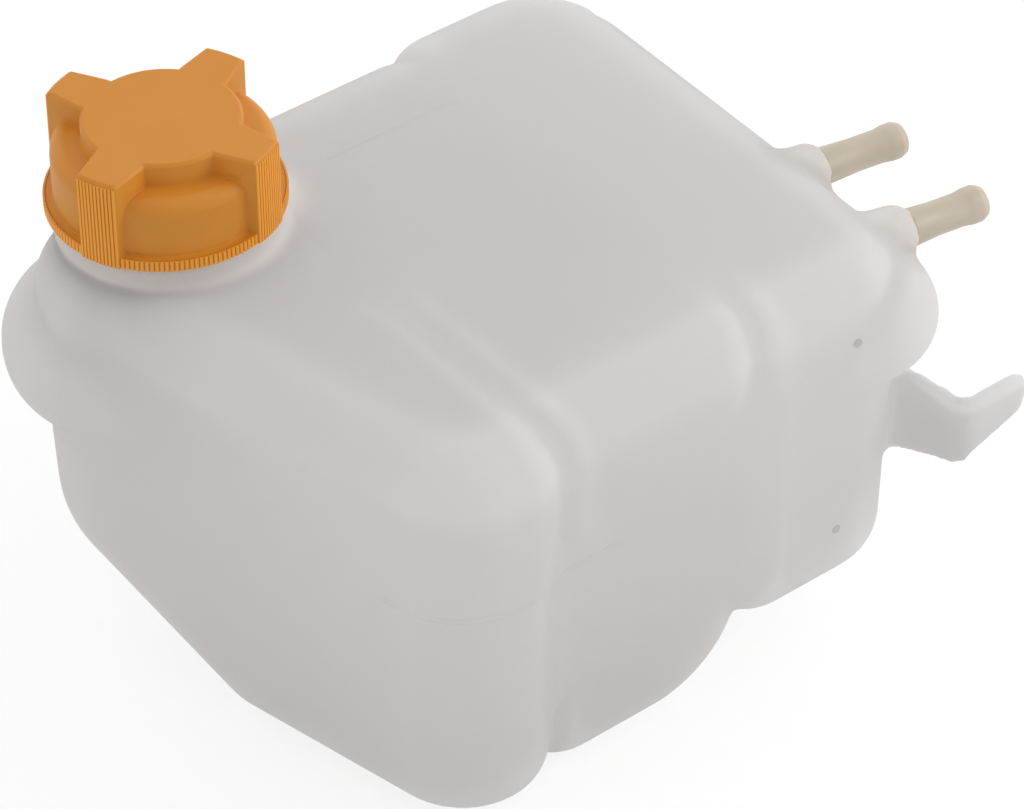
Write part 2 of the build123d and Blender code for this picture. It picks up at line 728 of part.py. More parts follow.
def neck_o_ring():
    """The rubber ring in the housing's groove."""
    ring_r = NECK_BORE_R - ORING_BORE_GAP - ORING_R
    section = RegularPolygon(ORING_R, ORING_SIDES, major_radius=False, rotation=180 / ORING_SIDES)
    ring = revolve(Plane.XZ * (Pos(ring_r, ORING_LEVEL) * section), Axis.Z)
    return Pos(FILLER_X, FILLER_Y, CAP_Z) * ring


def spring_cover():
    """The disc snapped into the housing, with a spigot that centres the pressure spring."""
    rim_r = UPPER_BORE_R + COVER_GROOVE - COVER_FIT
    cover = on_filler([
        (COVER_HOLE_R, COVER_Z - COVER_SPIGOT),
        (PLATE_RIM_R, COVER_Z - COVER_SPIGOT),
        (PLATE_RIM_R, COVER_Z),
        (rim_r, COVER_Z),
        (rim_r, COVER_Z + COVER_THICK),
        (COVER_HOLE_R, COVER_Z + COVER_THICK),
    ])
    vent = Pos((PLATE_R + UPPER_BORE_R) / 2, 0, 0) * Cylinder(COVER_VENT_R, 4 * COVER_THICK)
    return cover - round_filler(vent, VENTS, COVER_Z)


def coil(radius, wire_r, low, high, turns):
    """A coil spring between two seats, as a run of short straight lengths."""
    start = low + wire_r + COIL_GAP
    height = high - low - 2 * (wire_r + COIL_GAP)
    lengths = round(turns * COIL_LENGTHS)
    points = []
    for index in range(lengths + 1):
        angle = radians(360 * turns * index / lengths)
        points.append((radius * cos(angle), radius * sin(angle), height * index / lengths))
    path = Polyline(*points)
    section = Plane(origin=path @ 0, z_dir=path % 0) * RegularPolygon(wire_r, WIRE_SIDES)
    return Pos(FILLER_X, FILLER_Y, start) * sweep(section, path=path, transition=Transition.RIGHT)


def pressure_spring():
    """The stout spring that sets the tank's pressure."""
    return coil(PRESSURE_COIL_R, PRESSURE_WIRE_R, PLATE_TOP, COVER_Z, PRESSURE_TURNS)


def pressure_plate():
    """The pressure valve's plate, with a rim that centres its spring and ports for the vacuum valve."""
    rim_in = PLATE_RIM_R - PLATE_RIM_WALL
    plate = on_filler([
        (GUIDE_R, PLATE_Z),
        (PLATE_R, PLATE_Z),
        (PLATE_R, PLATE_TOP),
        (PLATE_RIM_R, PLATE_TOP),
        (PLATE_RIM_R, PLATE_TOP + PLATE_RIM),
        (rim_in, PLATE_TOP + PLATE_RIM),
        (rim_in, PLATE_TOP),
        (GUIDE_R, PLATE_TOP),
    ])
    port = Pos((GUIDE_R + SEAL_BORE_R) / 2, 0, 0) * Cylinder(PLATE_PORT_R, 4 * PLATE_THICK)
    return plate - round_filler(port, PLATE_PORTS, PLATE_Z)


def pressure_seal():
    """The rubber washer under the plate, which both valves close on."""
    return on_filler([(SEAL_BORE_R, SEAT_Z), (SEAL_R, SEAT_Z), (SEAL_R, PLATE_Z), (SEAL_BORE_R, PLATE_Z)])


def vacuum_valve():
    """The small mushroom valve that opens inwards, with a groove for its clip."""
    tip = CLIP_TOP + VACUUM_STEM_TIP
    return on_filler([
        (0, SEAT_Z - VACUUM_HEAD),
        (VACUUM_HEAD_R, SEAT_Z - VACUUM_HEAD),
        (VACUUM_HEAD_R, SEAT_Z),
        (VACUUM_STEM_R, SEAT_Z),
        (VACUUM_STEM_R, CLIP_Z - CLIP_FIT),
        (CLIP_GROOVE_R, CLIP_Z - CLIP_FIT),
        (CLIP_GROOVE_R, CLIP_TOP + CLIP_FIT),
        (VACUUM_STEM_R, CLIP_TOP + CLIP_FIT),
        (VACUUM_STEM_R, tip),
        (0, tip),
    ])


def vacuum_clip():
    """The slotted washer in the stem's groove."""
    hole_r = CLIP_GROOVE_R + CLIP_FIT
    ring = on_filler([(hole_r, CLIP_Z), (CLIP_R, CLIP_Z), (CLIP_R, CLIP_TOP), (hole_r, CLIP_TOP)])
    slot = Box(CLIP_R, CLIP_SLOT, CLIP_THICK)
    return ring - Pos(FILLER_X + CLIP_R / 2, FILLER_Y, CLIP_Z + CLIP_THICK / 2) * slot


def vacuum_spring():
    """The light spring that holds the vacuum valve shut."""
    return coil(VACUUM_COIL_R, VACUUM_WIRE_R, PLATE_TOP, CLIP_Z, VACUUM_TURNS)


def build():
    """Every piece by its node's name."""
    pieces = {
        "tank_body": tank_body(),
        "cap_shell": cap_shell(),
        "valve_housing": valve_housing(),
        "neck_o_ring": neck_o_ring(),
        "spring_cover": spring_cover(),
        "pressure_spring": pressure_spring(),
        "pressure_plate": pressure_plate(),
        "pressure_seal": pressure_seal(),
        "vacuum_valve": vacuum_valve(),
        "vacuum_spring": vacuum_spring(),
        "vacuum_clip": vacuum_clip(),
    }
    for name, (y, stand, length) in SPIGOTS.items():
        pieces[name] = bleed_spigot(y, stand, length)
    return pieces


os.makedirs("parts", exist_ok=True)
for node, shape in build().items():
    export_step(shape, os.path.join("parts", node + ".step"))
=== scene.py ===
"""A coolant expansion tank, dressed: soft moulded tank, screw cap with its grips, and the valve insert."""
from __future__ import annotations

import json
import logging
import math
from dataclasses import dataclass, field
from enum import Enum
from typing import Any, Iterable, Mapping, Optional, Union

import bmesh
import bpy
from bmesh.types import BMesh
from bpy.types import Material, Object
from mathutils import Matrix, Vector
from mathutils.bvhtree import BVHTree

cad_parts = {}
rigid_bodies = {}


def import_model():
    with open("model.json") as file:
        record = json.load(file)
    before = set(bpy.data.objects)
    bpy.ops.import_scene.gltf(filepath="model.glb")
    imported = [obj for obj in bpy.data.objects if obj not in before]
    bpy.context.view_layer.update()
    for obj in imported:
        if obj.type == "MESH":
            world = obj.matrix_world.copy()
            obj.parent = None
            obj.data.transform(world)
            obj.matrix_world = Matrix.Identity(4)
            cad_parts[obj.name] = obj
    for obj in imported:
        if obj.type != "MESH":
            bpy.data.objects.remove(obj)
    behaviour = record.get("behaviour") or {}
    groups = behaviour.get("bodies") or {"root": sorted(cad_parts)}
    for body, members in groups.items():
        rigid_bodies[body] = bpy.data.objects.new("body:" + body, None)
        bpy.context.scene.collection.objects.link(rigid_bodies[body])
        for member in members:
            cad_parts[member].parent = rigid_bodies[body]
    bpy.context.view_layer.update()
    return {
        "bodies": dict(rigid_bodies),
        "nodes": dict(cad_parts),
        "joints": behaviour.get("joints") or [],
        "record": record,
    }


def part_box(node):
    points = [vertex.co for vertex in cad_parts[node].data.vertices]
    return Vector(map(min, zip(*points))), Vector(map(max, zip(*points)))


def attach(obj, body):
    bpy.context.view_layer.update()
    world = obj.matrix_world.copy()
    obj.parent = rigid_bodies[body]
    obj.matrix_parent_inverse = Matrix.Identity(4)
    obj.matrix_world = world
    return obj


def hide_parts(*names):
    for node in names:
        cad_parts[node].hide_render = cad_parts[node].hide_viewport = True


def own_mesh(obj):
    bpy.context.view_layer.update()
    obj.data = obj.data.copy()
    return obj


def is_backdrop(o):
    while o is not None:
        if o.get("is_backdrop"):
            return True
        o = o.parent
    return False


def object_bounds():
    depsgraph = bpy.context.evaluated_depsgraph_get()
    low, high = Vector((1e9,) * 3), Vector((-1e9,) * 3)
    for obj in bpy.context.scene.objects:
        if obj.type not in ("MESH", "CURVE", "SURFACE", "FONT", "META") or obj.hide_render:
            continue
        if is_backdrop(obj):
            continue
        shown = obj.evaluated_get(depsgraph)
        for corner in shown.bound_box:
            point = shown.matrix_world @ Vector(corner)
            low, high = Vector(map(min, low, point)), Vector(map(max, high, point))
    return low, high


LOG = logging.getLogger("coolant_tank")
MM = 0.001
PHOTO_WIDTH = 1024
WELD = 0.002 * MM
# Mesh attribute holding the mask of the painted highlight along convex edges.
EDGE_MARK = "thin_edge"
TOP_LEVEL = 128.5 * MM
SPIGOT_YAW = math.radians(-8.5)
THREAD_PITCH = 4 * MM
THREAD_TURNS = 1.75
THREAD_FLATS = 72
FLAT_ANGLE = math.radians(0.5)

Colour = tuple[float, float, float, float]


def seen(red: int, green: int, blue: int) -> Colour:
    """Turn a colour as it looks on a screen, 0 to 255, into the renderer's linear values."""
    shares = (red / 255, green / 255, blue / 255)
    linear = [v / 12.92 if v <= 0.04045 else ((v + 0.055) / 1.055) ** 2.4 for v in shares]
    return (linear[0], linear[1], linear[2], 1.0)


class Body(Enum):
    """The moving bodies that a piece can ride on."""

    TANK = "tank"
    INSERT = "insert"
    CAP = "cap"
    PRESSURE_VALVE = "pressure_valve"
    VACUUM_VALVE = "vacuum_valve"


class Slot(Enum):
    """The material slots of the part."""

    TANK = "tank_plastic"
    SPIGOT = "spigot_plastic"
    CAP = "cap_plastic"
    INSERT = "insert_plastic"
    SEAL = "seal_rubber"
    SPRING = "spring_steel"
    BRASS = "valve_brass"


class Value:
    """One output in a material's node tree; sums and products of values add Math nodes."""

    def __init__(self, recipe: "Recipe", socket: bpy.types.NodeSocket) -> None:
        """Keep the socket and the recipe it belongs to."""
        self.recipe = recipe
        self.socket = socket

    def _math(self, operation: str, first: "Input", second: "Input" = 0.0) -> "Value":
        """Add one Math node on two inputs."""
        return self.recipe.node("ShaderNodeMath", {"operation": operation}, {0: first, 1: second})

    def __add__(self, other: "Input") -> "Value":
        """Add."""
        return self._math("ADD", self, other)

    __radd__ = __add__

    def __sub__(self, other: "Input") -> "Value":
        """Take a value away."""
        return self._math("SUBTRACT", self, other)

    def __rsub__(self, other: "Input") -> "Value":
        """Take this value away from a number."""
        return self._math("SUBTRACT", other, self)

    def __mul__(self, other: "Input") -> "Value":
        """Multiply."""
        return self._math("MULTIPLY", self, other)

    __rmul__ = __mul__

    def clamped(self) -> "Value":
        """Keep the value from passing 1."""
        return self._math("MINIMUM", self, 1.0)


Input = Union[Value, float, int, tuple, None]


class Recipe:
    """A material or world under construction."""

    def __init__(self, owner: Union[Material, bpy.types.World]) -> None:
        """Start from an empty node tree."""
        owner.use_nodes = True
        self.tree = owner.node_tree
        self.tree.nodes.clear()

    @classmethod
    def material(cls, name: str) -> tuple["Recipe", Material]:
        """Start a new material.

        Args:
            name: the material's name.

        Returns:
            The recipe and its material.
        """
        made = bpy.data.materials.new(name)
        return cls(made), made

    def node(
        self,
        kind: str,
        settings: Optional[Mapping[str, Any]] = None,
        inputs: Optional[Mapping[Union[str, int], Input]] = None,
        output: Union[str, int] = 0,
    ) -> Value:
        """Add a node, set it up and link it.

        Args:
            kind: the node's type.
            settings: its properties, set first; "stops" are the stops of a ramp.
            inputs: values or links, by socket name or number.
            output: which output to hand on.

        Returns:
            The chosen output.
        """
        made = self.tree.nodes.new(kind)
        for key, setting in (settings or {}).items():
            if key == "stops":
                ramp = made.color_ramp.elements
                while len(ramp) < len(setting):
                    ramp.new(0.5)
                for stop, (place, colour) in zip(ramp, setting):
                    stop.position = place
                    stop.color = colour
            else:
                setattr(made, key, setting)
        for key, given in (inputs or {}).items():
            if isinstance(given, Value):
                self.tree.links.new(given.socket, made.inputs[key])
            elif given is not None:
                made.inputs[key].default_value = given
        return Value(self, made.outputs[output])

    def place(self) -> Value:
        """The Object coordinates, which are metres in the part's frame."""
        return self.node("ShaderNodeTexCoord", output="Object")

    def split(self, place: Value) -> list[Value]:
        """The X, Y and Z of some coordinates."""
        parts = self.node("ShaderNodeSeparateXYZ", {}, {0: place}).socket.node.outputs
        return [Value(self, part) for part in parts]

    def step(self, value: Value, start: float, end: float) -> Value:
        """Rise smoothly from 0 where a value is at its start to 1 at its end, whichever is higher.

        Args:
            value: what is looked at.
            start: where the step begins.
            end: where it is done.

        Returns:
            The step's height.
        """
        settings = {"interpolation_type": "SMOOTHSTEP", "clamp": True}
        inputs = {"Value": value, "From Min": start, "From Max": end}
        return self.node("ShaderNodeMapRange", settings, inputs)

    def band(self, value: Value, middle: float, half: float, soft: float) -> Value:
        """1 in a band of values, falling smoothly to 0 on both sides.

        Args:
            value: what is looked at.
            middle: the band's middle.
            half: half its width.
            soft: over what distance it fades out.

        Returns:
            The band's height.
        """
        low = middle - half
        high = middle + half
        return self.step(value, low - soft, low) * self.step(value, high + soft, high)

    def noise(self, place: Input, scale: float, detail: float = 2.0) -> Value:
        """Cloudy noise from 0 to 1.

        Args:
            place: the coordinates.
            scale: how many cells a metre has.
            detail: how many finer layers are added.

        Returns:
            The noise's strength.
        """
        inputs = {"Vector": place, "Scale": scale, "Detail": detail}
        return self.node("ShaderNodeTexNoise", {}, inputs, "Fac")

    def stretched(self, place: Input, factors: tuple[float, float, float], turn: float = 0.0) -> Value:
        """Turn coordinates about Z, then scale them.

        Args:
            place: the coordinates.
            factors: the scale along each axis.
            turn: the angle about Z, in radians.

        Returns:
            The new coordinates.
        """
        inputs = {"Vector": place, "Rotation": (0.0, 0.0, turn), "Scale": factors}
        return self.node("ShaderNodeMapping", {"vector_type": "POINT"}, inputs)

    def blend(self, share: Input, first: Input, second: Input) -> Value:
        """Mix two colours.

        Args:
            share: how much of the second one shows, 0 to 1.
            first: the first colour.
            second: the second colour.

        Returns:
            The mixed colour.
        """
        return self.node("ShaderNodeMix", {"data_type": "RGBA"}, {0: share, 6: first, 7: second}, 2)

    def bump(self, height: Value, depth: float) -> Value:
        """Turn a height from 0 to 1 into a normal.

        Args:
            height: the height.
            depth: how high a height of 1 stands, in metres.

        Returns:
            The normal.
        """
        return self.node("ShaderNodeBump", {}, {"Height": height, "Distance": depth, "Strength": 1.0})

    def surface(self, inputs: Mapping[str, Input]) -> None:
        """End a material in one Principled shader.

        Args:
            inputs: the shader's values or links.
        """
        shader = self.node("ShaderNodeBsdfPrincipled", {}, inputs)
        self.end(shader)

    def end(self, shader: Value, kind: str = "ShaderNodeOutputMaterial") -> None:
        """Link a shader to the output.

        Args:
            shader: what is shown.
            kind: the output node's type.
        """
        target = self.tree.nodes.new(kind)
        self.tree.links.new(shader.socket, target.inputs["Surface"])


@dataclass(frozen=True)
class TranslucentPlastic:
    """Milky natural plastic that lets light through, with the mould's faint lines in relief, a painted
    highlight along convex edges and painted light lifting the shade on the neck band.
    """

    name: str = "tank_milky_plastic"
    pale: Colour = seen(226, 222, 219)
    warm: Colour = seen(219, 214, 210)
    # edge and edge_share: painted highlight, a lighter and less see-through wall along convex edges.
    edge: Colour = seen(250, 247, 246)
    # neck and neck_share: a lighter, less see-through band on the neck under the cap, painted light that
    # lifts the shade falling there.
    neck: Colour = seen(247, 242, 239)
    cloud_scale: float = 14.0
    grain_scale: float = 900.0
    grain_depth: float = 0.03 * MM
    ripple_scale: float = 45.0
    ripple_depth: float = 0.25 * MM
    roughness: float = 0.5
    gloss_spread: float = 0.08
    refraction: float = 1.49
    through_share: float = 0.82
    through: Colour = seen(252, 252, 252)
    edge_share: float = 0.66
    neck_share: float = 0.42
    neck_low: float = TOP_LEVEL
    neck_high: float = 131.5 * MM
    hook: Colour = seen(230, 227, 226)
    hook_share: float = 0.32
    hook_corner: tuple[float, float, float] = (101 * MM, -68 * MM, 81 * MM)
    hook_fade: float = 2 * MM
    line_depth: float = 0.25 * MM
    line_half: float = 0.25 * MM
    line_soft: float = 0.9 * MM
    line_fade: float = 4 * MM
    level_z: float = 79 * MM
    level_right: float = 6 * MM
    level_back: float = -52 * MM
    crease_x: float = 24.5 * MM
    crease_half: float = 20 * MM
    crease_y: float = 45.8 * MM
    crease_floor: float = 124 * MM

    def lines(self, recipe: Recipe, place: Value) -> Value:
        """The level line round the front left corner and the crease across the top.

        Args:
            recipe: the material under construction.
            place: the Object coordinates.

        Returns:
            1 on a line, else 0.
        """
        x, y, z = recipe.split(place)
        level = recipe.band(z, self.level_z, self.line_half, self.line_soft)
        level = level * recipe.step(x, self.level_right, self.level_right - self.line_fade)
        level = level * recipe.step(y, self.level_back, self.level_back - self.line_fade)
        crease = recipe.band(y, self.crease_y, self.line_half, self.line_soft)
        crease = crease * recipe.band(x, self.crease_x, self.crease_half, self.line_fade)
        crease = crease * recipe.step(z, self.crease_floor - self.line_fade, self.crease_floor)
        return level + crease

    def on_hook(self, recipe: Recipe, place: Value) -> Value:
        """1 on the solid hook at the front right, else 0.

        Args:
            recipe: the material under construction.
            place: the Object coordinates.

        Returns:
            The hook's share.
        """
        x, y, z = recipe.split(place)
        right, front, top = self.hook_corner
        inside = recipe.step(x, right - self.hook_fade, right + self.hook_fade)
        inside = inside * recipe.step(y, front + self.hook_fade, front - self.hook_fade)
        return inside * recipe.step(z, top + self.hook_fade, top - self.hook_fade)

    def material(self) -> Material:
        """Make the material: a milky surface mixed with light that passes through the wall."""
        recipe, made = Recipe.material(self.name)
        place = recipe.place()
        cloud = recipe.noise(place, self.cloud_scale, 3.0)
        grain = recipe.noise(place, self.grain_scale, 1.0)
        ripple = recipe.noise(place, self.ripple_scale, 1.0)
        lines = self.lines(recipe, place)
        height = ripple * self.ripple_depth + grain * self.grain_depth + lines * self.line_depth
        normal = recipe.bump(height, 1.0)
        # Mask of the painted highlight along convex edges.
        edge_highlight_mask = recipe.node("ShaderNodeAttribute", {"attribute_name": EDGE_MARK}, output="Fac")
        # Mask of the painted light on the neck band under the cap.
        on_neck = recipe.step(recipe.split(place)[2], self.neck_low, self.neck_high)
        on_hook = self.on_hook(recipe, place)
        # The cloudy wall tone, lightened on convex edges as a painted highlight.
        wall = recipe.blend(edge_highlight_mask, recipe.blend(cloud, self.pale, self.warm), self.edge)
        milky = recipe.node("ShaderNodeBsdfPrincipled", {}, {
            "Base Color": recipe.blend(on_hook, recipe.blend(on_neck, wall, self.neck), self.hook),
            "Roughness": self.roughness + self.gloss_spread * (cloud - 0.5),
            "Normal": normal,
            "IOR": self.refraction,
        })
        glow = recipe.node("ShaderNodeBsdfTranslucent", {}, {"Color": self.through, "Normal": normal})
        # Share of light let through, lowered on convex edges for the painted highlight and on the neck band
        # for its painted light.
        share = self.through_share + edge_highlight_mask * (self.edge_share - self.through_share)
        share = share + on_neck * (self.neck_share - share)
        share = share + on_hook * (self.hook_share - share)
        recipe.end(recipe.node("ShaderNodeMixShader", {}, {0: share, 1: milky, 2: glow}))
        return made


@dataclass(frozen=True)
class MouldedPlastic:
    """Opaque moulded plastic or rubber with a fine grain."""

    name: str
    colour: Colour
    shade: Colour
    roughness: float = 0.45
    gloss_spread: float = 0.1
    cloud_scale: float = 60.0
    grain_scale: float = 2600.0
    grain_depth: float = 0.012 * MM
    inside_share: float = 0.0
    inside_reach: float = 1 * MM

    def material(self) -> Material:
        """Make the material."""
        recipe, made = Recipe.material(self.name)
        place = recipe.place()
        cloud = recipe.noise(place, self.cloud_scale)
        grain = recipe.noise(place, self.grain_scale)
        recipe.surface({
            "Base Color": recipe.blend(cloud, self.colour, self.shade),
            "Roughness": self.roughness + self.gloss_spread * (grain - 0.5),
            "Normal": recipe.bump(grain, self.grain_depth),
            "Subsurface Weight": self.inside_share,
            "Subsurface Scale": self.inside_reach,
        })
        return made


@dataclass(frozen=True)
class StreakedPlastic:
    """Beige plastic with flow streaks along the spigots."""

    name: str = "spigot_beige_plastic"
    colour: Colour = seen(207, 198, 182)
    streak: Colour = seen(198, 186, 164)
    roughness: float = 0.42
    gloss_spread: float = 0.2
    streak_scale: tuple[float, float, float] = (45.0, 190.0, 190.0)
    streak_start: float = 0.3
    streak_full: float = 0.7
    inside_share: float = 0.5
    inside_reach: float = 4 * MM

    def material(self) -> Material:
        """Make the material."""
        recipe, made = Recipe.material(self.name)
        along = recipe.stretched(recipe.place(), self.streak_scale, -SPIGOT_YAW)
        streak = recipe.noise(along, 1.0, 1.0)
        ramp = recipe.node(
            "ShaderNodeValToRGB",
            {"stops": ((self.streak_start, self.colour), (self.streak_full, self.streak))},
            {"Fac": streak},
        )
        recipe.surface({
            "Base Color": ramp,
            "Roughness": self.roughness + self.gloss_spread * (streak - 0.5),
            "Subsurface Weight": self.inside_share,
            "Subsurface Scale": self.inside_reach,
        })
        return made


@dataclass(frozen=True)
class DrawnMetal:
    """Bare metal with a slightly uneven polish."""

    name: str
    colour: Colour
    tarnish: Colour
    roughness: float = 0.3
    gloss_spread: float = 0.15
    patch_scale: float = 180.0

    def material(self) -> Material:
        """Make the material."""
        recipe, made = Recipe.material(self.name)
        patch = recipe.noise(recipe.place(), self.patch_scale, 3.0)
        recipe.surface({
            "Base Color": recipe.blend(patch, self.colour, self.tarnish),
            "Metallic": 1.0,
            "Roughness": self.roughness + self.gloss_spread * (patch - 0.5),
        })
        return made


def finishes() -> dict[Slot, Material]:
    """Make every finish of the part once."""
    made = {
        Slot.TANK: TranslucentPlastic(),
        Slot.SPIGOT: StreakedPlastic(),
        Slot.CAP: MouldedPlastic(
            "cap_orange_plastic",
            seen(221, 145, 38),
            seen(215, 139, 34),
            0.5,
            inside_share=0.2,
            inside_reach=1.5 * MM,
        ),
        Slot.INSERT: MouldedPlastic("insert_black_plastic", seen(48, 48, 50), seen(40, 40, 42), 0.4),
        Slot.SEAL: MouldedPlastic("seal_black_rubber", seen(34, 34, 35), seen(28, 28, 29), 0.75),
        Slot.SPRING: DrawnMetal("spring_drawn_steel", seen(196, 196, 198), seen(168, 168, 172), 0.28),
        Slot.BRASS: DrawnMetal("valve_pressed_brass", seen(212, 184, 120), seen(186, 154, 92), 0.32),
    }
    return {slot: finish.material() for slot, finish in made.items()}


def clean(mesh: BMesh, doubles: float = WELD) -> None:
    """Merge doubled corners and point every face outwards.

    Args:
        mesh: the mesh to clean.
        doubles: corners closer than this become one.
    """
    bmesh.ops.remove_doubles(mesh, verts=mesh.verts[:], dist=doubles)
    bmesh.ops.recalc_face_normals(mesh, faces=mesh.faces[:])


def finished(name: str, mesh: BMesh, finish: Material, sharp: float = 32.0) -> Object:
    """Turn a bmesh into an object in the scene.

    Args:
        name: the piece's name.
        mesh: its shape, which is used up.
        finish: its material.
        sharp: edges that turn more than this many degrees stay crisp.

    Returns:
        The new object.
    """
    data = bpy.data.meshes.new(name)
    mesh.to_mesh(data)
    mesh.free()
    data.shade_smooth()
    data.set_sharp_from_angle(angle=math.radians(sharp))
    data.materials.append(finish)
    piece = bpy.data.objects.new(name, data)
    bpy.context.scene.collection.objects.link(piece)
    return piece


def settle(piece: Object, body: Body, replaced: Iterable[str] = ()) -> Object:
    """Say which body a piece rides on and the nodes that it stands for.

    Args:
        piece: the piece.
        body: the body that carries it.
        replaced: CAD nodes that it stands for.

    Returns:
        The same piece.
    """
    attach(piece, body.value)
    for node in replaced:
        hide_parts(node)
    LOG.info("%s rides on %s, %d faces", piece.name, body.value, len(piece.data.polygons))
    return piece


def copied(node: Object) -> BMesh:
    """Copy a CAD node's mesh, with its loose triangles joined."""
    mesh = bmesh.new()
    mesh.from_mesh(node.data)
    bmesh.ops.remove_doubles(mesh, verts=mesh.verts[:], dist=WELD)
    return mesh


def loop(mesh: BMesh, corners: Iterable[Vector], closed: bool = True) -> list:
    """Add a chain of corners and edges.

    Args:
        mesh: the mesh that gets them.
        corners: the places of the corners.
        closed: whether the last one joins the first.

    Returns:
        The new vertices and edges.
    """
    verts = [mesh.verts.new(corner) for corner in corners]
    pairs = list(zip(verts, verts[1:]))
    if closed:
        pairs.append((verts[-1], verts[0]))
    return verts + [mesh.edges.new(pair) for pair in pairs]


def revolved(mesh: BMesh, corners: Iterable[tuple[float, float]], axis: Vector, steps: int) -> None:
    """Spin a closed section a full turn about an upright axis.

    Args:
        mesh: the mesh that gets the ring.
        corners: radius and level of each corner.
        axis: a point on the axis.
        steps: how many flats the turn has.
    """
    section = loop(mesh, [Vector((axis.x + radius, axis.y, level)) for radius, level in corners])
    bmesh.ops.spin(
        mesh, geom=section, cent=axis, axis=(0, 0, 1), angle=math.tau, steps=steps, use_merge=True
    )


def helix(mesh: BMesh, section: list[Vector], axis: Vector, pitch: float, turns: float, steps: int) -> None:
    """Run a closed section up a right-handed screw line and close its two ends.

    Args:
        mesh: an empty mesh.
        section: the corners of the section where it starts.
        axis: a point on the upright axis.
        pitch: rise in a turn.
        turns: number of turns.
        steps: flats in a turn.
    """
    start = loop(mesh, section)
    count = round(steps * turns)
    bmesh.ops.spin(
        mesh,
        geom=start,
        cent=axis,
        axis=(0, 0, 1),
        dvec=(0, 0, pitch / steps),
        angle=math.tau * turns,
        steps=count,
    )
    bmesh.ops.holes_fill(mesh, edges=[edge for edge in mesh.edges if edge.is_boundary], sides=len(section))
    clean(mesh)


def filler_axis() -> Vector:
    """A point on the axis of the neck and the cap, at the level of the cap's foot."""
    low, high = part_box("cap_shell")
    return Vector(((low[0] + high[0]) / 2, (low[1] + high[1]) / 2, low[2]))


def repeated(mesh: BMesh, axis: Vector, count: int) -> None:
    """Repeat all of a mesh evenly round an upright axis.

    Args:
        mesh: the mesh that holds one of them.
        axis: a point on the axis.
        count: how many there are at the end.
    """
    bmesh.ops.spin(
        mesh,
        geom=mesh.verts[:] + mesh.edges[:] + mesh.faces[:],
        cent=axis,
        axis=(0, 0, 1),
        angle=math.tau - math.tau / count,
        steps=count - 1,
        use_duplicate=True,
    )
    bmesh.ops.recalc_face_normals(mesh, faces=mesh.faces[:])


def flattened(node: Object) -> BMesh:
    """Copy a CAD node's mesh, with the triangles of each flat joined into one face."""
    mesh = copied(node)
    bmesh.ops.dissolve_limit(mesh, angle_limit=FLAT_ANGLE, verts=mesh.verts[:], edges=mesh.edges[:])
    return mesh


def bevelled(piece: Object, name: str, width: float, segments: int, angle: float) -> None:
    """Break a piece's edges with a Bevel modifier.

    Args:
        piece: the piece.
        name: the modifier's name.
        width: the bevel's width.
        segments: its number of facets.
        angle: edges that turn more than this many degrees get it.
    """
    bevel = piece.modifiers.new(name, "BEVEL")
    bevel.width = width
    bevel.segments = segments
    bevel.limit_method = "ANGLE"
    bevel.angle_limit = math.radians(angle)


def threaded(axis: Vector, radii: tuple[float, float], start: float) -> BMesh:
    """Make a screw thread of trapezoid section.

    Args:
        axis: a point on the upright axis.
        radii: the radius of its root and of its crest.
        start: the height where it starts.

    Returns:
        The thread.
    """
    mesh = bmesh.new()
    root, crest = radii
    corners = ((root, 0.0), (crest, 0.25), (crest, 0.45), (root, 0.7))
    section = [Vector((axis.x + radius, axis.y, start + share * THREAD_PITCH)) for radius, share in corners]
    helix(mesh, section, axis, THREAD_PITCH, THREAD_TURNS, THREAD_FLATS)
    return mesh


def paint(node: Object, finish: Material) -> None:
    """Give a CAD node its finish on its own material slots."""
    node.data.materials.clear()
    node.data.materials.append(finish)


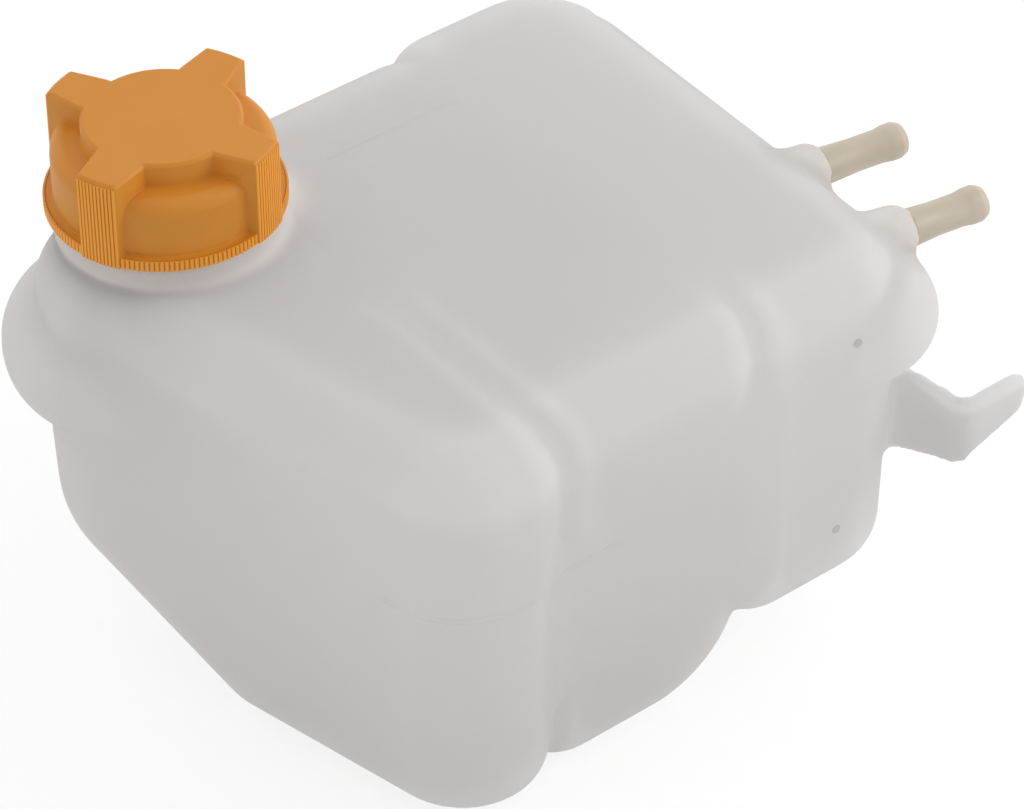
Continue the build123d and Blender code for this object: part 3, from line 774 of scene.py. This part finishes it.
@dataclass
class Tank:
    """The moulded tank, with its soft blends, thread, spigots and mould marks."""

    frame: Mapping[str, Any]
    finish: Mapping[Slot, Material]
    voxel: float = 1.3 * MM
    even_passes: int = 4
    groove_passes: int = 6
    groove_depth: float = 0.012 * MM
    groove_rings: int = 3
    # edge_rings and edge_bend shape the mask of the painted highlight along convex edges.
    edge_rings: int = 6
    edge_bend: float = 0.035 * MM
    fill_passes: int = 260
    fill_rings: int = 5
    fill_front: float = -60 * MM
    fill_low: float = 34 * MM
    # left, right and upper end of each filled stretch on the front
    fill_grooves: tuple[tuple[float, float, float], ...] = (
        (-40 * MM, 15 * MM, 82 * MM),
        (15 * MM, 72 * MM, 103 * MM),
    )
    # left, right, front and back of each filled stretch on the top
    fill_tops: tuple[tuple[float, float, float, float], ...] = (
        (-40 * MM, 15 * MM, -6 * MM, 8 * MM),
        (15 * MM, 72 * MM, -46 * MM, 8 * MM),
        (-15 * MM, 140 * MM, 8 * MM, 58 * MM),
    )
    spigot_round: float = 0.6 * MM
    boss_plug_inside: float = 5 * MM
    boss_plug_radius: float = 6.2 * MM
    boss_plug_length: float = 6 * MM
    outlet_axis: tuple[float, float] = (8 * MM, 27 * MM)
    outlet_plug_y: float = 70.5 * MM
    outlet_plug_radius: float = 9 * MM
    outlet_plug_length: float = 4 * MM
    plug_flats: int = 32
    bore_radius: float = 21.5 * MM
    well_floor_drop: float = 6 * MM
    well_wall: float = 3 * MM
    well_flats: int = 64
    top_zone: float = 10 * MM
    neck_clear: float = 33 * MM
    foot_rise: float = 3.5 * MM
    thread_root: float = 24.9 * MM
    thread_crest: float = 26.2 * MM
    thread_start: float = 141 * MM
    dot_radius: float = 1.3 * MM
    dot_height: float = 0.3 * MM
    dot_places: tuple[tuple[float, float], ...] = ((80.5 * MM, 107 * MM), (78 * MM, 42 * MM))
    skin: BMesh = field(default_factory=bmesh.new)

    def in_grooves(self, mesh: BMesh) -> list:
        """Find the corners in and beside the hollows of the skin, clear of the neck.

        Args:
            mesh: the evened skin.

        Returns:
            Its vertices that a blow mould would soften.
        """
        axis = filler_axis()
        found = set()
        for vert in mesh.verts:
            around = [edge.other_vert(vert).co for edge in vert.link_edges]
            middle = sum(around, Vector()) / len(around)
            aside = (vert.co - axis).xy.length
            on_neck = vert.co.z > TOP_LEVEL + self.foot_rise and aside < self.neck_clear
            if (middle - vert.co).dot(vert.normal) > self.groove_depth and not on_neck:
                found.add(vert)
        return self.widened(found, self.groove_rings)

    def widened(self, verts: Iterable, rings: int) -> list:
        """Add the neighbours of some vertices.

        Args:
            verts: the vertices to start from.
            rings: how many rows of neighbours are added.

        Returns:
            All of them.
        """
        found = set(verts)
        for _ in range(rings):
            found |= {edge.other_vert(vert) for vert in found for edge in vert.link_edges}
        return list(found)

    def filled(self, vert: bmesh.types.BMVert) -> bool:
        """Say whether a groove is filled where a corner of the skin lies.

        Args:
            vert: the corner.

        Returns:
            True on the front below the pinched stretches, and behind them on the top.
        """
        x, y, z = vert.co
        if z > TOP_LEVEL - self.top_zone:
            return any(
                left < x < right and front < y < back for left, right, front, back in self.fill_tops
            )
        return y < self.fill_front and any(
            left < x < right and self.fill_low < z < high for left, right, high in self.fill_grooves
        )

    def mark_edges(self, mesh: BMesh) -> None:
        """Note on each corner how far the skin bends outwards, as the mask of a painted highlight along
        convex edges.

        Args:
            mesh: the finished skin.
        """
        layer = mesh.verts.layers.float.new(EDGE_MARK)
        near = {vert: [edge.other_vert(vert) for edge in vert.link_edges] for vert in mesh.verts}
        bend = {}
        for vert, around in near.items():
            middle = sum((other.co for other in around), Vector()) / len(around)
            bend[vert] = (vert.co - middle).dot(vert.normal) / self.edge_bend
        for _ in range(self.edge_rings):
            bend = {vert: (bend[vert] + sum(bend[other] for other in around)) / (len(around) + 1)
                    for vert, around in near.items()}
        for vert, share in bend.items():
            vert[layer] = min(max(share, 0.0), 1.0)

    def relax(self, mesh: BMesh, verts: list, passes: int) -> None:
        """Smooth some corners of a mesh.

        Args:
            mesh: the mesh.
            verts: its vertices that move.
            passes: how often.
        """
        for _ in range(passes):
            bmesh.ops.smooth_vert(
                mesh, verts=verts, factor=0.5, use_axis_x=True, use_axis_y=True, use_axis_z=True
            )
        mesh.normal_update()

    def spigot_point(self, node: str, inside: float) -> Vector:
        """A point on a spigot's axis.

        Args:
            node: the spigot's node.
            inside: how far from its inner end, along X.

        Returns:
            The point.
        """
        low, high = (Vector(corner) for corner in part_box(node))
        middle = (low + high) / 2
        x = low.x + inside
        return Vector((x, middle.y + (x - middle.x) * math.tan(SPIGOT_YAW), middle.z))

    def plugged(self) -> BMesh:
        """Copy the solid tank, with its bores shut deep inside so that only the outside is skinned."""
        mesh = copied(self.frame["nodes"]["tank_body"])
        axis = filler_axis()
        low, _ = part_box("valve_housing")
        floor = low[2] - self.well_floor_drop
        outer = self.bore_radius + self.well_wall
        corners = (
            (0.0, floor - self.well_wall),
            (outer, floor - self.well_wall),
            (outer, TOP_LEVEL - MM),
            (self.bore_radius, TOP_LEVEL - MM),
            (self.bore_radius, floor),
            (0.0, floor),
        )
        revolved(mesh, corners, axis, self.well_flats)
        turn = Matrix.Rotation(SPIGOT_YAW, 4, "Z") @ Matrix.Rotation(math.pi / 2, 4, "Y")
        for node in ("bleed_spigot_rear", "bleed_spigot_front"):
            place = self.spigot_point(node, self.boss_plug_inside)
            self.add_plug(mesh, place, turn, self.boss_plug_radius, self.boss_plug_length)
        place = Vector((self.outlet_axis[0], self.outlet_plug_y, self.outlet_axis[1]))
        turn = Matrix.Rotation(math.pi / 2, 4, "X")
        self.add_plug(mesh, place, turn, self.outlet_plug_radius, self.outlet_plug_length)
        return mesh

    def add_plug(self, mesh: BMesh, place: Vector, turn: Matrix, radius: float, length: float) -> None:
        """Add a closed cylinder.

        Args:
            mesh: the mesh that gets it.
            place: its middle.
            turn: its direction.
            radius: its radius.
            length: its length.
        """
        bmesh.ops.create_cone(
            mesh,
            cap_ends=True,
            segments=self.plug_flats,
            radius1=radius,
            radius2=radius,
            depth=length,
            matrix=Matrix.Translation(place) @ turn,
        )

    def build_skin(self) -> Object:
        """Skin the tank with even quads and soften its blends, as blow moulding does."""
        rough = finished("tank_rough", self.plugged(), self.finish[Slot.TANK])
        remesh = rough.modifiers.new("even_quads", "REMESH")
        remesh.mode = "VOXEL"
        remesh.voxel_size = self.voxel
        evaluated = rough.evaluated_get(bpy.context.evaluated_depsgraph_get())
        even = bpy.data.meshes.new_from_object(evaluated)
        bpy.data.objects.remove(rough)
        mesh = bmesh.new()
        mesh.from_mesh(even)
        bpy.data.meshes.remove(even)
        bmesh.ops.recalc_face_normals(mesh, faces=mesh.faces[:])
        self.relax(mesh, mesh.verts[:], self.even_passes)
        grooves = self.in_grooves(mesh)
        self.relax(mesh, grooves, self.groove_passes)
        shallow = [vert for vert in grooves if self.filled(vert)]
        self.relax(mesh, self.widened(shallow, self.fill_rings), self.fill_passes)
        self.mark_edges(mesh)
        self.skin = mesh.copy()
        self.skin.normal_update()
        skin = finished("tank_skin", mesh, self.finish[Slot.TANK], 60.0)
        return settle(skin, Body.TANK, ["tank_body"])

    def build_dots(self) -> Object:
        """Two small round mould marks on the front of the hose lobe."""
        tree = BVHTree.FromBMesh(self.skin)
        low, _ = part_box("tank_body")
        mesh = bmesh.new()
        for x, z in self.dot_places:
            spot, normal, _, _ = tree.ray_cast(Vector((x, low[1] - MM, z)), Vector((0, 1, 0)))
            turn = normal.to_track_quat("Z", "Y").to_matrix().to_4x4()
            self.add_plug(mesh, spot, turn, self.dot_radius, self.dot_height)
        dark = MouldedPlastic("tank_mark_grey", seen(200, 197, 195), seen(194, 191, 189), 0.5)
        return settle(finished("tank_mould_marks", mesh, dark.material()), Body.TANK)

    def build_thread(self) -> Object:
        """The screw thread on the neck."""
        radii = (self.thread_root, self.thread_crest)
        mesh = threaded(filler_axis(), radii, self.thread_start)
        return settle(finished("neck_thread", mesh, self.finish[Slot.TANK]), Body.TANK)

    def build_spigots(self) -> None:
        """The two bleed spigots, with their bevels rounded over."""
        for name in ("bleed_spigot_rear", "bleed_spigot_front"):
            mesh = flattened(self.frame["nodes"][name])
            soft = finished(name + "_soft", mesh, self.finish[Slot.SPIGOT], 60.0)
            bevelled(soft, "rounded_over", self.spigot_round, 3, 20.0)
            settle(soft, Body.TANK, [name])

    def dress(self) -> None:
        """Build every piece of the tank."""
        self.build_skin()
        self.build_dots()
        self.build_thread()
        self.build_spigots()


@dataclass
class Cap:
    """The screw cap: bevelled shell, knurled flange, ribbed grips and inner thread."""

    frame: Mapping[str, Any]
    finish: Mapping[Slot, Material]
    # A lighter copy of the cap's orange for the knurl and grip ribs: painted light that lifts the shade
    # between the ribs and brightens their crests.
    painted_lit_orange: Material
    edge: float = 0.25 * MM
    flange_radius: float = 31.7 * MM
    flange_height: float = 3.1 * MM
    knurl_teeth: int = 156
    knurl_proud: float = 0.38 * MM
    knurl_fill: float = 0.9
    knurl_low: float = 0.15 * MM
    grips: int = 4
    grip_turn: float = math.radians(23.0)
    grip_reach: float = 32.1 * MM
    grip_width: float = 11.5 * MM
    grip_ribs: int = 11
    grip_top_gap: float = 1.0 * MM
    rib_proud: float = 0.36 * MM
    rib_fill: float = 0.92
    crest_share: float = 0.7
    thread_root: float = 27.0 * MM
    thread_crest: float = 25.7 * MM
    thread_start: float = 139 * MM

    def box(self) -> tuple[Vector, Vector]:
        """The lowest and highest corner of the cap."""
        low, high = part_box("cap_shell")
        return Vector(low), Vector(high)

    def add_rib(self, mesh: BMesh, base: float, tip: float, width: float, low: float, high: float) -> list:
        """Add one upright rib on the +X side of the axis, narrower at its crest.

        Args:
            mesh: the mesh that gets it.
            base: radius of its sunk back.
            tip: radius of its crest.
            width: its width at the back.
            low: its lower end above the cap's foot.
            high: its upper end above the cap's foot.

        Returns:
            The rib's vertices.
        """
        axis = filler_axis()
        size = Matrix.Diagonal((tip - base, width, high - low, 1))
        place = Matrix.Translation(axis + Vector(((base + tip) / 2, 0, (low + high) / 2)))
        verts = bmesh.ops.create_cube(mesh, size=1.0, matrix=place @ size)["verts"]
        crest = [vert for vert in verts if vert.co.x > axis.x + (base + tip) / 2]
        bmesh.ops.scale(mesh, vec=(1, self.crest_share, 1), verts=crest, space=Matrix.Translation(-axis))
        return verts

    def build_shell(self) -> Object:
        """The cap itself, with its edges broken a little."""
        mesh = flattened(self.frame["nodes"]["cap_shell"])
        shell = finished("cap_bevelled_shell", mesh, self.finish[Slot.CAP], 30.0)
        bevelled(shell, "broken_edges", self.edge, 2, 40.0)
        return settle(shell, Body.CAP, ["cap_shell"])

    def build_knurl(self) -> Object:
        """The fine teeth round the flange."""
        mesh = bmesh.new()
        pitch = math.tau * self.flange_radius / self.knurl_teeth
        tip = self.flange_radius + self.knurl_proud
        root = self.flange_radius - self.knurl_proud
        self.add_rib(mesh, root, tip, self.knurl_fill * pitch, self.knurl_low, self.flange_height)
        repeated(mesh, filler_axis(), self.knurl_teeth)
        # The teeth take the lighter orange, painted light.
        return settle(finished("cap_knurl", mesh, self.painted_lit_orange), Body.CAP)

    def build_grip_ribs(self) -> Object:
        """The upright ribs on the end of each grip."""
        mesh = bmesh.new()
        low, high = self.box()
        top = high.z - low.z - self.grip_top_gap
        pitch = self.grip_width / self.grip_ribs
        axis = filler_axis()
        tip = self.grip_reach + self.rib_proud
        root = self.grip_reach - self.rib_proud
        for index in range(self.grip_ribs):
            rib = self.add_rib(mesh, root, tip, self.rib_fill * pitch, 0.0, top)
            aside = (index + 0.5) * pitch - self.grip_width / 2
            turn = self.grip_turn + math.asin(aside / self.grip_reach)
            bmesh.ops.rotate(mesh, cent=axis, matrix=Matrix.Rotation(turn, 3, "Z"), verts=rib)
        repeated(mesh, axis, self.grips)
        # The ribs take the lighter orange, painted light.
        return settle(finished("cap_grip_ribs", mesh, self.painted_lit_orange), Body.CAP)

    def build_thread(self) -> Object:
        """The thread inside the drum."""
        radii = (self.thread_root, self.thread_crest)
        mesh = threaded(filler_axis(), radii, self.thread_start)
        return settle(finished("cap_thread", mesh, self.finish[Slot.CAP]), Body.CAP)

    def dress(self) -> None:
        """Build every piece of the cap."""
        self.build_shell()
        self.build_knurl()
        self.build_grip_ribs()
        self.build_thread()


@dataclass
class Insert:
    """The valve insert in the neck: seal, springs and the two valves."""

    frame: Mapping[str, Any]
    finish: Mapping[Slot, Material]
    seal_section: float = 1.3 * MM
    seal_sides: int = 16
    seal_flats: int = 96
    pressure_wire: float = 0.8 * MM
    pressure_turns: float = 6.0
    pressure_keep: float = 0.889
    vacuum_wire: float = 0.35 * MM
    vacuum_turns: float = 5.0
    vacuum_keep: float = 0.8
    wire_sides: int = 10
    coil_flats: int = 40

    def build_seal(self) -> Object:
        """The round seal on the insert."""
        low, high = (Vector(corner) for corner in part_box("neck_o_ring"))
        axis = (low + high) / 2
        middle = (high.x - low.x) / 2 - self.seal_section
        mesh = bmesh.new()
        corners = []
        for index in range(self.seal_sides):
            turn = math.tau * index / self.seal_sides
            corners.append((
                middle + self.seal_section * math.cos(turn),
                axis.z + self.seal_section * math.sin(turn),
            ))
        revolved(mesh, corners, axis, self.seal_flats)
        clean(mesh)
        seal = finished("neck_round_seal", mesh, self.finish[Slot.SEAL])
        return settle(seal, Body.INSERT, ["neck_o_ring"])

    def coil(self, name: str, node: str, wire: float, turns: float) -> Object:
        """A smooth round wire coil in place of a CAD spring.

        Args:
            name: the piece's name.
            node: the spring's node, whose box it fills.
            wire: the wire's radius.
            turns: its number of turns.

        Returns:
            The coil.
        """
        low, high = (Vector(corner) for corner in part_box(node))
        axis = (low + high) / 2
        middle = (high.x - low.x) / 2 - wire
        pitch = (high.z - low.z - 2 * wire) / turns
        section = []
        for index in range(self.wire_sides):
            turn = math.tau * index / self.wire_sides
            section.append(Vector((
                axis.x + middle + wire * math.cos(turn),
                axis.y,
                low.z + wire + wire * math.sin(turn),
            )))
        mesh = bmesh.new()
        helix(mesh, section, axis, pitch, turns, self.coil_flats)
        return finished(name, mesh, self.finish[Slot.SPRING])

    def build_springs(self) -> None:
        """The two springs as fixed coils, each with a mesh of its own."""
        pressure = self.coil("pressure_coil", "pressure_spring", self.pressure_wire, self.pressure_turns)
        settle(pressure, Body.INSERT, ["pressure_spring"])
        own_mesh(pressure)
        vacuum = self.coil("vacuum_coil", "vacuum_spring", self.vacuum_wire, self.vacuum_turns)
        settle(vacuum, Body.PRESSURE_VALVE, ["vacuum_spring"])
        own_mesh(vacuum)

    def dress(self) -> None:
        """Build the seal and springs, and finish the other pieces."""
        self.build_seal()
        self.build_springs()
        nodes = self.frame["nodes"]
        for name in ("valve_housing", "spring_cover"):
            paint(nodes[name], self.finish[Slot.INSERT])
        paint(nodes["pressure_seal"], self.finish[Slot.SEAL])
        for name in ("pressure_plate", "vacuum_valve", "vacuum_clip"):
            paint(nodes[name], self.finish[Slot.BRASS])


@dataclass
class Studio:
    """The floor, the light and the camera."""

    floor_size: float = 6.0
    floor_colour: Colour = (0.85, 0.85, 0.85, 1.0)
    shadow_share: float = 0.35
    floor_glow: float = 0.72
    sky_high: float = 0.84
    sky_low: float = 1.02
    open_side: float = 0.5
    open_start: float = 0.1
    open_full: float = 0.9
    open_toward: tuple[float, float] = (-0.62, -0.785)
    key_toward: Vector = field(default_factory=lambda: Vector((0.72, -0.52, 0.46)))
    key_distance: float = 1.2
    key_size: float = 0.5
    key_power: float = 3.2
    camera_place: tuple[float, float, float] = (-566.14 * MM, -750.562 * MM, 876.379 * MM)
    camera_toward: tuple[float, float, float] = (0.472557, 0.596338, -0.6489)
    focal_pixels: float = 4600.0
    sensor: float = 36.0
    camera_reach: float = 50.0

    def seen_directly(self, recipe: Recipe) -> Value:
        """1 where the camera or a reflection looks at it, else 0."""
        path = recipe.node("ShaderNodeLightPath")
        node = path.socket.node
        camera, glossy = (Value(recipe, node.outputs[name]) for name in ("Is Camera Ray", "Is Glossy Ray"))
        return (camera + glossy).clamped()

    def build_floor(self) -> None:
        """A wide pale floor that shows as white, with the object's shadow."""
        recipe, material = Recipe.material("studio_floor")
        lit = recipe.node("ShaderNodeBsdfDiffuse", {}, {"Color": self.floor_colour})
        shade = (self.shadow_share,) * 3 + (1.0,)
        shadow = recipe.node("ShaderNodeBsdfDiffuse", {}, {"Color": shade})
        glow = recipe.node("ShaderNodeEmission", {}, {"Strength": self.floor_glow})
        shown = recipe.node("ShaderNodeAddShader", {}, {0: shadow, 1: glow})
        recipe.end(recipe.node("ShaderNodeMixShader", {}, {0: self.seen_directly(recipe), 1: lit, 2: shown}))
        mesh = bmesh.new()
        bmesh.ops.create_grid(mesh, x_segments=1, y_segments=1, size=self.floor_size)
        finished("studio_floor", mesh, material)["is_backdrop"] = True

    def build_light(self) -> None:
        """A sky that is paler low down and dimmer on the side left open, and one soft key lamp."""
        world = bpy.data.worlds.new("studio_sky")
        bpy.context.scene.world = world
        recipe = Recipe(world)
        x, y, up = recipe.split(recipe.node("ShaderNodeTexCoord", output="Generated"))
        aside = x * self.open_toward[0] + y * self.open_toward[1]
        glow = self.sky_low + recipe.step(up, 0.0, 1.0) * (self.sky_high - self.sky_low)
        glow = glow * (1.0 - recipe.step(aside, self.open_start, self.open_full) * (1.0 - self.open_side))
        strength = glow + self.seen_directly(recipe) * (1.0 - glow)
        sky = recipe.node("ShaderNodeBackground", {}, {"Color": (1.0, 1.0, 1.0, 1.0), "Strength": strength})
        recipe.end(sky, "ShaderNodeOutputWorld")
        lamp = bpy.data.lights.new("key_lamp", "AREA")
        lamp.shape = "SQUARE"
        lamp.size = self.key_size
        lamp.energy = self.key_power
        key = bpy.data.objects.new("key_lamp", lamp)
        low, high = (Vector(corner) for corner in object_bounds())
        toward = self.key_toward.normalized()
        key.location = (low + high) / 2 + toward * self.key_distance
        key.rotation_euler = toward.to_track_quat("Z", "Y").to_euler()
        bpy.context.scene.collection.objects.link(key)

    def build_camera(self) -> None:
        """The camera at the photograph's viewing angle."""
        data = bpy.data.cameras.new("camera")
        data.sensor_fit = "HORIZONTAL"
        data.sensor_width = self.sensor
        data.lens = self.focal_pixels * self.sensor / PHOTO_WIDTH
        data.clip_end = self.camera_reach
        camera = bpy.data.objects.new("camera", data)
        camera.location = self.camera_place
        camera.rotation_euler = Vector(self.camera_toward).to_track_quat("-Z", "Y").to_euler()
        bpy.context.scene.collection.objects.link(camera)
        bpy.context.scene.camera = camera

    def build(self) -> None:
        """Set up the whole studio."""
        bpy.context.scene.view_settings.view_transform = "Standard"
        self.build_floor()
        self.build_light()
        self.build_camera()


def main() -> None:
    """Load the solids, dress them and light them."""
    logging.basicConfig(level=logging.INFO, format="%(name)s: %(message)s")
    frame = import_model()
    finish = finishes()
    Tank(frame, finish).dress()
    # A lighter copy of the cap's orange: painted light for the knurl and grip ribs.
    painted_lit_orange = MouldedPlastic("cap_orange_painted_lit", seen(249, 171, 54), seen(243, 164, 48), 0.5)
    Cap(frame, finish, painted_lit_orange.material()).dress()
    Insert(frame, finish).dress()
    Studio().build()


if __name__ == "__main__":
    main()
